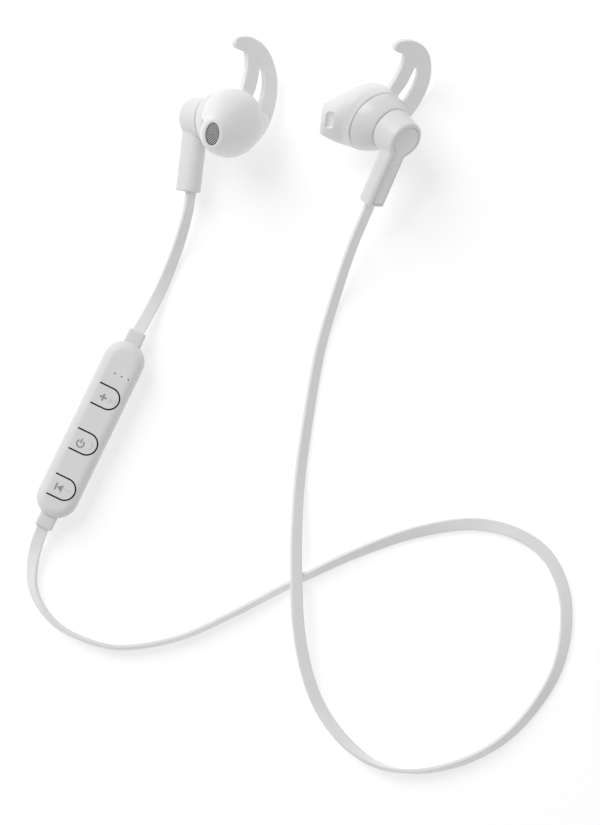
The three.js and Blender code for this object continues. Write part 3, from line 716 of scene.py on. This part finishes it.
def make_housing():
    """The round rear body and the stem in one, hollow, with a seat for the back cover."""
    x, z = BODY["x"], BODY["z"]
    bottom = STEM["bottom"]
    drum_rings = []
    for i in range(7):
        angle = i * TURN / 24
        y = BODY["rim_y"] * (1 - math.cos(angle))
        radius = BODY["back"] + (BODY["rim"] - BODY["back"]) * math.sin(angle)
        drum_rings.append(round_ring(y, radius, x, z))
    drum_rings.append(round_ring(BODY["front_y"], BODY["front"], x, z))
    stem = prism_along_z("stem", stem_outline(0), bottom, z)
    body = fused(joined("housing", loft("drum", drum_rings), stem), voxel=0.2, passes=8)
    drum_hollow = loft("hollow", [
        round_ring(DRUM_FLOOR, BODY["rim"] - WALL - 0.1, x, z),
        round_ring(BODY["front_y"] + 1, BODY["front"] - WALL, x, z),
    ])
    stem_hollow = prism_along_z("hollow", stem_outline(STEM["wall"] + 0.2), bottom + STEM_END["wall"], z)
    seat = prism_along_y("seat", keyhole(SEAM), -1, COVER["thickness"] + GAP)
    window = prism_along_y("window", keyhole(-COVER["ledge"]), -1, 3)
    hole_low = (-STEM_END["hole_half"], STEM_END["hole_back"], bottom - 1)
    hole_high = (STEM_END["hole_half"], STEM_END["hole_front"], bottom + 2)
    cable_hole = block("hole", hole_low, hole_high)
    cut(body, drum_hollow, stem_hollow)
    cut(body, seat, window, cable_hole)
    return smooth(body, 45)


def make_back_cover():
    plate = prism_along_y("cover", keyhole(-SEAM), 0, COVER["thickness"])
    return smooth(rounded(plate, 0.1))


def dome_rings(inset, base_y, stub_end):
    """Rings from the cone's front, in to the root of the nozzle and along it."""
    wide = NOZZLE["wide"] + NOZZLE["wall"] - inset
    tall = NOZZLE["tall"] + NOZZLE["wall"] - inset
    base = round_ring(base_y, CONE["front"] - 0.9 - inset)
    stub = nozzle_ring(-DOME["stub"], wide, tall)
    return [*blend_rings(base, stub, 12, DOME["bulge"]), nozzle_ring(stub_end, wide, tall)]


def make_front_shell():
    """The hollow cone in front of the rear body, with the slanted nozzle."""
    x, z = BODY["x"], BODY["z"]
    start_y = BODY["front_y"] + GAP
    edge = CONE_LIP
    back = round_ring(start_y + edge, CONE["back"] + edge * 0.4, x, z)
    front = round_ring(CONE["front_y"] - edge, CONE["front"] - 0.05)
    flare = blend_rings(back, front, 14, CONE["swell"])
    cone = loft("cone", [
        round_ring(start_y, CONE["back"] - edge, x, z),
        round_ring(start_y + edge * 0.3, CONE["back"] - edge * 0.3, x, z),
        *flare,
        round_ring(CONE["front_y"], CONE["front"] - 0.3),
    ])
    dome = loft("dome", dome_rings(0, CONE["front_y"] - 0.6, -0.6))
    cone_hollow = loft("hollow", [
        round_ring(start_y - 1, CONE["back"] - WALL - 0.5, x, z),
        round_ring(CONE["front_y"] - 0.2, CONE["front"] - WALL - 0.9),
    ])
    dome_hollow = loft("hollow", dome_rings(WALL * 0.8, CONE["front_y"] - 0.8, 1))
    shell = combined(cone, "UNION", [dome])
    return smooth(cut(shell, cone_hollow, dome_hollow), 35)


def curve_through(points, steps=10):
    """A smooth open line through points of a plane."""
    line = []
    last = len(points) - 1
    for k in range(last):
        p0, p1, p2, p3 = [Vector(points[min(max(k + d, 0), last)]) for d in (-1, 0, 1, 2)]
        v0 = (p2 - p0) / 2
        v1 = (p3 - p1) / 2
        bend = (p1 - p2) * 2 + v0 + v1
        sway = (p2 - p1) * 3 - v0 * 2 - v1
        for s in range(steps):
            t = s / steps
            line.append(((bend * t + sway) * t + v0) * t + p1)
    line.append(Vector(points[last]))
    return line


def nozzle_pocket():
    """The body that cuts a shallow pocket in the back of the nozzle, behind its lip."""
    low, high = POCKET["from"], POCKET["to"]
    outline = rounded_rectangle((high - low) / 2, POCKET["half_tall"], POCKET["corner"], 6)
    centre = NOZZLE_MOUTH + NOZZLE_AXIS * (low + high) / 2 + NOZZLE_TALL * POCKET["lift"]
    surface = NOZZLE["wide"] + NOZZLE["wall"] + MOUTH_WALL + MOUTH_FLARE
    floor = surface - POCKET["depth"]
    rings = []
    for out, grow in ((floor, POCKET["floor"]), (floor + 0.25, 1.0), (surface + 3, 1.0)):
        spot = centre - NOZZLE_WIDE * out
        rings.append([spot + NOZZLE_AXIS * a * grow + NOZZLE_TALL * b * grow for a, b in outline])
    return loft("pocket", rings)


def cap_rings(widest, mouth, steps):
    """Rings of the cap's front.

    It is full and rounded on the fin's side, and nearly straight where it runs out to the mouth.
    """
    rings = []
    for s in range(steps + 1):
        t = s / steps
        inward = 1 - max(math.cos(t * TURN / 4), 0) ** DOME["power"]
        forward = math.sin(t * TURN / 4) ** DOME["power"]
        ring = []
        for i, (start, end) in enumerate(zip(widest, mouth)):
            around = TURN * i / RING
            slope = FULLNESS["side"] * math.cos(around) + FULLNESS["top"] * math.sin(around)
            fullness = min(FULLNESS["middle"] + slope, 1)
            drawn = t + (inward - t) * fullness
            advanced = t + (forward - t) * fullness
            span = end - start
            ring.append(start + Vector((span.x * drawn, span.y * advanced, span.z * drawn)))
        centre = ring_middle(ring)
        for i, point in enumerate(ring):
            swell = DOME["cap_bulge"] * 2 * t * (1 - t) * (1 - math.cos(TURN * i / RING))
            point += (point - centre).normalized() * swell
        rings.append(ring)
    return rings


def fin_web():
    """The thick foot of the fin, which flows from the cap's front out to the fin's lower edge."""
    outline = curve_through([*WEB, WEB[0]], 6)[:-1]
    centre = Vector(WEB_CENTRE)
    rings = []
    for y, grow in WEB_SECTIONS:
        spots = [centre + (point - centre) * grow for point in outline]
        rings.append([Vector((point.x, y, point.y)) for point in spots])
    return loft("web", rings)


def make_ear_tip():
    """The silicone cap and its fin, hollow, with an oval bore where the nozzle sits."""
    wide = NOZZLE["wide"]
    tall = NOZZLE["tall"]
    mouth_wide = wide + NOZZLE["wall"] + MOUTH_WALL
    mouth_tall = tall + NOZZLE["wall"] + MOUTH_WALL
    mouth = nozzle_ring(-0.5, mouth_wide + MOUTH_FLARE, mouth_tall + MOUTH_FLARE)
    rim_y = CONE["front_y"] + GAP
    widest = []
    for point in round_ring(TIP["wide_y"], 1):
        x = TIP["wide_x"] + point.x * TIP["wide_half"]
        widest.append(Vector((x, point.y + TIP["lean"] * x, point.z * TIP["wide_tall"])))
    cap = loft("cap", [
        round_ring(rim_y - 0.2, TIP["rim"] - 0.1),
        round_ring(rim_y + 0.3, TIP["rim"] + 0.05),
        *cap_rings(widest, mouth, 24),
        nozzle_ring(-0.2, mouth_wide + 0.2, mouth_tall + 0.2),
        nozzle_ring(0.1, mouth_wide - 0.2, mouth_tall - 0.2),
    ])
    outline = [*curve_through(FIN_HOOK), *curve_through(FIN_BRACE)[1:], Vector(FIN["root"])]
    slot_line = [*curve_through(FIN_SLOT_OUTER), *curve_through(FIN_SLOT_INNER)[:-1]]
    low = FIN["centre_y"] - FIN["thickness"] / 2
    high = FIN["centre_y"] + FIN["thickness"] / 2
    fin = prism_along_y("fin", outline, low, high)
    cut(fin, prism_along_y("slot", slot_line, low - 1, high + 1))
    tip = fused(joined("tip", cap, fin, fin_web()), voxel=0.22, passes=16)
    hollow = loft("hollow", dome_rings(-GAP, rim_y - 0.8, -0.3))
    bore = loft("bore", [
        nozzle_ring(-1, wide, tall),
        nozzle_ring(-0.2, wide, tall),
        nozzle_ring(0, wide + 0.12, tall + 0.12),
        nozzle_ring(1, wide + 0.9, tall + 0.9),
    ])
    return smooth(cut(tip, hollow, bore, nozzle_pocket()), 50)


def make_wire_disc():
    """A slightly domed oval of wire cloth, drawn flat in its own plane with +Z out of the nozzle."""
    wide = NOZZLE["wide"] - WEAVE_EASE
    tall = NOZZLE["tall"] - WEAVE_EASE
    rings = []
    for share, height in WEAVE_SECTIONS:
        rings.append([Vector((a * wide * share, b * tall * share, height)) for a, b in circle(0, 0, 1, 48)])
    return smooth(loft("disc", rings), 60)


def add_bud(side, looks):
    """One bud. The shapes are drawn for the left ear and mirrored for the right."""
    matrix = bud_matrix(side)
    mirrored = side == "right"
    shapes = {
        "housing": (make_housing, "white_plastic", looks["shell"], "root"),
        "back_cover": (make_back_cover, "white_plastic", looks["shell"], "root"),
        "front_shell": (make_front_shell, "white_plastic", looks["shell"], "root"),
        "ear_tip": (make_ear_tip, "silicone", looks["silicone"], f"{side}_tip"),
    }
    for node, (make, slot, material, body) in shapes.items():
        obj = make()
        obj.name = f"{side}_{node}_moulding"
        paint(obj, material)
        placed(obj, matrix, body, [f"{side}_{node}"], mirrored)
    across = -1 if mirrored else 1
    flip = Matrix.Diagonal((across, 1, 1))
    wide, tall, axis = [flip @ v for v in (NOZZLE_WIDE, NOZZLE_TALL, NOZZLE_AXIS)]
    seat = flip @ (NOZZLE_MOUTH - NOZZLE_AXIS * WEAVE_DEPTH)
    disc = make_wire_disc()
    disc.name = f"{side}_nozzle_mesh_weave"
    paint(disc, looks["wire"])
    local = basis(tall.cross(axis), tall, axis, seat * MM)
    disc.data.transform(Matrix.Scale(MM, 4))
    disc.matrix_world = matrix @ local
    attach(disc, "root")
    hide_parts(f"{side}_nozzle_mesh")


# ------------------------------------------------------------------ control box shapes
def box_inset(z):
    """How far the box's outline draws in at a height, round its top and bottom edges."""
    top = min(max(0, z - (BOX["height"] - BOX["top_edge"])), BOX["top_edge"])
    bottom = min(max(0, BOX["bottom_edge"] - z), BOX["bottom_edge"])
    return (BOX["top_edge"] - math.sqrt(BOX["top_edge"] ** 2 - top ** 2)
            + BOX["bottom_edge"] - math.sqrt(BOX["bottom_edge"] ** 2 - bottom ** 2))


def box_ring(z, inset):
    half = BOX["half_width"] - inset
    straight = BOX["half_length"] - BOX["half_width"]
    outline = arc(0, straight, half, 0, TURN / 2, RING // 2)
    outline += arc(0, -straight, half, TURN / 2, TURN, RING // 2)
    return [Vector((x, y, z)) for x, y in outline]


def box_levels(low, high):
    """Heights of a box body's rings: closely spaced round the rounded edges."""
    levels = [BOX["bottom_edge"] * (1 - math.cos(i * TURN / 48)) for i in range(13)]
    levels += [BOX["height"] - BOX["top_edge"] * (1 - math.sin(i * TURN / 64)) for i in range(17)]
    return [low, *[z for z in levels if low + 0.02 < z < high - 0.002], high]


def box_body(name, low, high):
    return loft(name, [box_ring(z, box_inset(z)) for z in box_levels(low, high)])


def box_hollow(low, high):
    """The inside of the box between two heights, with softer edges than the outside."""
    scale = BOX["height"] / (BOX["height"] - 2 * WALL)
    heights = [low + (high - low) * i / 12 for i in range(13)]
    rings = []
    for z in heights:
        same = (min(max(z, WALL), BOX["height"] - WALL) - WALL) * scale
        rings.append(box_ring(z, box_inset(same) * 0.75 + WALL))
    return loft("hollow", rings)


def key_outline(y, inset):
    """A key's outline: straight at its hinge line, and round at its other end."""
    hinge = BUTTON["hinge"]
    radius = BUTTON["radius"] - inset
    bow = arc(BUTTON["arc"], y, radius, -TURN / 4, TURN / 4, 48)
    return [(hinge, y - radius), *bow, (hinge, y + radius)]


def port_block(grow):
    half = PORT["length"] / 2 + grow
    low = (BOX["half_width"] - PORT["depth"] - grow, PORT["y"] - half, PORT["low"] - grow)
    return block("port", low, (BOX["half_width"] + 1, PORT["y"] + half, PORT["high"] + grow))


def collar_block(end, grow):
    half = COLLAR["width"] / 2 + grow
    tall = COLLAR["height"] / 2 + grow
    mid = BOX["height"] / 2
    ys = sorted((end * (COLLAR["inner"] - grow), end * (COLLAR["tip"] + grow)))
    return block("collar", (-half, ys[0], mid - tall), (half, ys[1], mid + tall))


def cut_side_openings(cover):
    """Cuts the openings for the port cover and the two collars."""
    return cut(cover, port_block(PORT["seam"]), collar_block(1, SEAM), collar_block(-1, SEAM))


def make_front_cover(looks):
    cover = paint(box_body("cover", BOX["split"] + SEAM, BOX["height"]), looks["box"], looks["gap"])
    cut(cover, box_hollow(BOX["split"] - 1, BOX["height"] - WALL))
    slots = [prism_along_z("slot", key_outline(y, -KEY_SLOT_EASE), *THROUGH_TOP) for y in KEY_Y]
    holes = [rod_along_z("hole", x, HOLES["y"], HOLES["radius"], *THROUGH_TOP) for x in HOLES["xs"]]
    # The walls of the key slots and holes get the second material, near-black painted shade.
    cut(cover, *slots, *holes, inside=1)
    return smooth(cut_side_openings(cover), 30)


def make_rear_cover(looks):
    cover = paint(box_body("cover", 0, BOX["split"] - SEAM), looks["box"])
    cut(cover, box_hollow(WALL, BOX["split"] + 1))
    return smooth(cut_side_openings(cover), 30)


def make_key(y, looks):
    """The tongue of the top cover that bends, with the post under it that presses the switch."""
    key = paint(box_body("key", BOX["split"], BOX["height"]), looks["box"], looks["gap"])
    under = BOX["height"] - WALL
    tongue = prism_along_z("tongue", key_outline(y, GAP + KEY_SLOT_EASE), under, BOX["height"] + 1)
    # The key's cut sides get the second material, the near-black painted shade of its slot.
    kept_inside(key, tongue, inside=1)
    post = rod_along_z("post", POST["x"], y, POST["radius"], under - POST["length"], under + GAP)
    combined(key, "UNION", [post], inside=1)
    return smooth(key, 30)


def make_port_cover():
    """The rubber cover over the charging port, with a small notch for a fingernail."""
    cover = kept_inside(box_body("flap", 0, BOX["height"]), port_block(0))
    end = PORT["y"] + PORT["length"] / 2
    notch = rod_along_z("notch", BOX["half_width"] + 0.1, end, PORT["notch"], 0, BOX["height"])
    cut(cover, notch)
    return smooth(rounded(cover, 0.12, 50), 30)


def make_collar(end):
    """A strain relief with soft edges, slightly waisted towards the cable."""
    half = COLLAR["width"] / 2
    tall = COLLAR["height"] / 2
    length = COLLAR["tip"] - COLLAR["inner"]
    rings = []
    for along, shrink in COLLAR_SECTIONS:
        outline = rounded_rectangle(half - shrink, tall - shrink, COLLAR["edge"], 6)
        y = end * (COLLAR["inner"] + along * length)
        rings.append([Vector((x, y, BOX["height"] / 2 + z)) for x, z in outline])
    return smooth(loft("collar", rings), 50)


# ------------------------------------------------------------------ printed symbols
def put_down(points, x, y, size):
    return [(x + px * size, y + py * size) for px, py in points]


def bar(x0, y0, x1, y1):
    return [(x0, y0), (x1, y0), (x1, y1), (x0, y1)]


ARM = 0.27  # half the width of the plus's arms
PLUS = [[
    (-1, -ARM), (-ARM, -ARM), (-ARM, -1), (ARM, -1), (ARM, -ARM), (1, -ARM),
    (1, ARM), (ARM, ARM), (ARM, 1), (-ARM, 1), (-ARM, ARM), (-1, ARM),
]]
MINUS = [bar(-1, -0.22, 1, 0.22)]
PREVIOUS = [bar(-1, -1, -0.55, 1), [(-0.5, 0), (1, -1), (1, 1)]]
NEXT = [[(-1, -1), (0.5, 0), (-1, 1)], bar(0.6, -1, 1, 1)]


def ring_strip(radius, width, start, end, steps=32):
    return arc(0, 0, radius, start, end, steps) + arc(0, 0, radius - width, end, start, steps)


def power_symbol():
    gap = math.radians(38)
    return [ring_strip(1, 0.36, TURN / 4 + gap, 5 * TURN / 4 - gap), bar(-0.18, 0.15, 0.18, 1.2)]


def handset_symbol():
    """A plain curved receiver."""
    lean = math.radians(35)
    return [
        ring_strip(1, 0.34, -TURN / 4 + lean, TURN / 4 - lean + 0.5),
        [(0.35, 0.5), (0.75, 0.55), (0.6, 1.05), (0.2, 0.95)],
        [(0.35, -0.5), (0.75, -0.55), (0.6, -1.05), (0.2, -0.95)],
    ]


def add_symbols(matrix, looks):
    """Each key has a dark symbol and a pale one, printed on its flat top.

    Overlapping strokes of one symbol differ a little in height, so that no two of their faces coincide.
    """
    # key, symbol, strokes, x, y, half its size, ink
    prints = [
        ("volume_up", "plus", PLUS, -0.65, 9.4, 1.0, "ink"),
        ("volume_up", "next", NEXT, 2.05, 9.4, 0.95, "pale_ink"),
        ("power", "power", power_symbol(), -0.76, -4.6, 1.2, "ink"),
        ("power", "call", handset_symbol(), 1.7, -4.0, 1.1, "pale_ink"),
        ("volume_down", "previous", PREVIOUS, -0.84, -17.8, 1.05, "ink"),
        ("volume_down", "minus", MINUS, 1.75, -17.6, 0.95, "pale_ink"),
    ]
    for key, name, shapes, x, y, size, material in prints:
        for i, shape in enumerate(shapes):
            outline = put_down(shape, x, y, size)
            top = BOX["height"] + INK * (1 + INK_STEP * i)
            mark = prism_along_z("mark", outline, BOX["height"] - 0.01, top)
            mark.name = f"{key}_{name}_symbol_{i}"
            paint(mark, looks[material])
            placed(mark, matrix, f"{key}_key")


def add_box(looks):
    matrix = box_matrix()

    def put(obj, node, body, material=None):
        obj.name = f"{node}_moulding"
        if material:
            paint(obj, material)
        placed(obj, matrix, body, [node])

    put(make_front_cover(looks), "front_cover", "root")
    put(make_rear_cover(looks), "rear_cover", "root")
    for key, y in zip(KEYS, KEY_Y):
        put(make_key(y, looks), f"{key}_button", f"{key}_key")
    put(make_port_cover(), "usb_port_cover", "port_flap", looks["collar"])
    put(make_collar(1), "upper_collar", "root", looks["collar"])
    put(make_collar(-1), "lower_collar", "root", looks["collar"])
    add_symbols(matrix, looks)


# ------------------------------------------------------------------ carried-over nodes
def paint_inner_nodes(looks):
    """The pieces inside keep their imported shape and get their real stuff."""
    inner = inner_materials()
    inner["cable_rubber"] = looks["collar"]
    for subpart in frame["record"]["subparts"]:
        node = frame["nodes"][subpart["node"]]
        if not node.hide_render:
            paint(node, inner[subpart["material_slot"]])


# ------------------------------------------------------------------ stage
def add_floor():
    half = FLOOR["half"]
    corners = [(-half, -half, 0), (half, -half, 0), (half, half, 0), (-half, half, 0)]
    floor = new_object("floor", corners, [(0, 1, 2, 3)])
    material, shader = moulded("pale_floor", (FLOOR["shade"],) * 3, 0.9, 400, 0.00001, mottle=0.01, patch=4)
    shader.inputs["Emission Color"].default_value = (1, 1, 1, 1)
    shader.inputs["Emission Strength"].default_value = FLOOR["glow"]
    shader.inputs["Specular IOR Level"].default_value = 0.1
    paint(floor, material)


def add_lights():
    """Even light from all round, and one large soft light at the top left."""
    world = bpy.data.worlds.new("studio")
    world.use_nodes = True
    background = world.node_tree.nodes["Background"]
    background.inputs["Color"].default_value = (1, 1, 1, 1)
    background.inputs["Strength"].default_value = SKY_STRENGTH
    bpy.context.scene.world = world
    data = bpy.data.lights.new("key", "AREA")
    data.shape = "SQUARE"
    data.size = KEY_LIGHT["size"]
    data.energy = KEY_LIGHT["power"]
    light = bpy.data.objects.new("key", data)
    light.location = KEY_LIGHT["at"]
    light.rotation_euler = (-Vector(KEY_LIGHT["at"])).to_track_quat("-Z", "Y").to_euler()
    bpy.context.scene.collection.objects.link(light)
    bpy.context.scene.view_settings.view_transform = "Standard"


# ------------------------------------------------------------------ assembly
add_camera()
LOOKS = {
    "shell": shell_plastic(), "box": box_plastic(), "silicone": silicone(), "cable": cable_rubber(),
    # The gap look is near-black painted shade for the walls of the slots and holes.
    "collar": collar_rubber(), "gap": painted_slot_shade(), "wire": woven_wire(),
    "ink": ink("dark_ink", 0.36), "pale_ink": ink("pale_ink", 0.73),
}
add_cable("right_cable", RIGHT_ROUTE, (TUCK_IN_STEM, TUCK_IN_COLLAR), LOOKS["cable"])
add_cable("neck_cable", NECK_ROUTE, (TUCK_IN_COLLAR, TUCK_IN_STEM), LOOKS["cable"])
add_bud("left", LOOKS)
add_bud("right", LOOKS)
add_box(LOOKS)
paint_inner_nodes(LOOKS)
add_floor()
add_lights()
